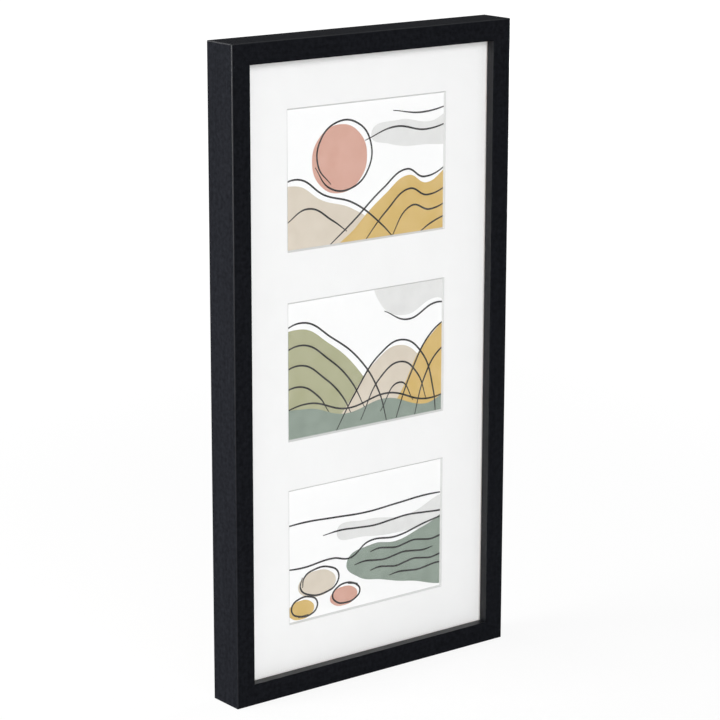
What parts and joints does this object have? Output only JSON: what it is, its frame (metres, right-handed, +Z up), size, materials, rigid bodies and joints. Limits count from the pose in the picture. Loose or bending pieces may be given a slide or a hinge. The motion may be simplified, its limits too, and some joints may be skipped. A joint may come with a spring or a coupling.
{
  "type": "collage photo frame",
  "caption": "Tall deep black wooden picture frame with a white mat whose bevelled windows show prints one above another behind glass, turn clips and hanging rings at the back.",
  "frame": {"origin": "under the middle of the frame, on the surface it stands on", "axes": "+Z up the frame, +Y from its front to the wall, +X to the right as seen from the front"},
  "size_m": [0.274, 0.032, 0.524],
  "materials": {
    "black_wood": "satin black foil",
    "clear_glass": "clear",
    "white_mat": "matt",
    "print_paper": "satin",
    "paper_tape": "matt",
    "fibreboard": "bare",
    "plated_steel": "nickel plated",
    "nail_steel": "bare"
  },
  "bodies": {
    "frame": {"moulding_left": "black_wood", "moulding_right": "black_wood", "moulding_top": "black_wood", "moulding_bottom": "black_wood", "corner_v_nails": "nail_steel", "glass_pane": "clear_glass", "mat_board": "white_mat", "photo_print_top": "print_paper", "photo_print_middle": "print_paper", "photo_print_bottom": "print_paper", "print_tape": "paper_tape", "back_board": "fibreboard", "clip_rivets": "plated_steel", "hanger_strap_left": "plated_steel", "hanger_strap_right": "plated_steel", "hanger_rivets": "plated_steel"},
    "turn_clip_left_upper": {"turn_clip_left_upper": "plated_steel"},
    "turn_clip_left_lower": {"turn_clip_left_lower": "plated_steel"},
    "turn_clip_right_upper": {"turn_clip_right_upper": "plated_steel"},
    "turn_clip_right_lower": {"turn_clip_right_lower": "plated_steel"},
    "turn_clip_top": {"turn_clip_top": "plated_steel"},
    "turn_clip_bottom": {"turn_clip_bottom": "plated_steel"},
    "hanger_ring_left": {"hanger_ring_left": "plated_steel"},
    "hanger_ring_right": {"hanger_ring_right": "plated_steel"}
  },
  "joints": [
    {"name": "clip_turn_left_upper", "type": "hinge", "parent": "frame", "child": "turn_clip_left_upper", "pos_m": [-0.1135, -0.00005, 0.392], "axis": [0, 1, 0], "continuous": true},
    {"name": "clip_turn_left_lower", "type": "hinge", "parent": "frame", "child": "turn_clip_left_lower", "pos_m": [-0.1135, -0.00005, 0.132], "axis": [0, 1, 0], "continuous": true},
    {"name": "clip_turn_right_upper", "type": "hinge", "parent": "frame", "child": "turn_clip_right_upper", "pos_m": [0.1135, -0.00005, 0.392], "axis": [0, 1, 0], "continuous": true},
    {"name": "clip_turn_right_lower", "type": "hinge", "parent": "frame", "child": "turn_clip_right_lower", "pos_m": [0.1135, -0.00005, 0.132], "axis": [0, 1, 0], "continuous": true},
    {"name": "clip_turn_top", "type": "hinge", "parent": "frame", "child": "turn_clip_top", "pos_m": [0, -0.00005, 0.5005], "axis": [0, 1, 0], "continuous": true},
    {"name": "clip_turn_bottom", "type": "hinge", "parent": "frame", "child": "turn_clip_bottom", "pos_m": [0, -0.00005, 0.0235], "axis": [0, 1, 0], "continuous": true},
    {"name": "ring_swing_left", "type": "hinge", "parent": "frame", "child": "hanger_ring_left", "pos_m": [-0.06, 0.00155, 0.44], "axis": [1, 0, 0], "range_deg": [0, 180]},
    {"name": "ring_swing_right", "type": "hinge", "parent": "frame", "child": "hanger_ring_right", "pos_m": [0.06, 0.00155, 0.44], "axis": [1, 0, 0], "range_deg": [0, 180]}
  ]
}
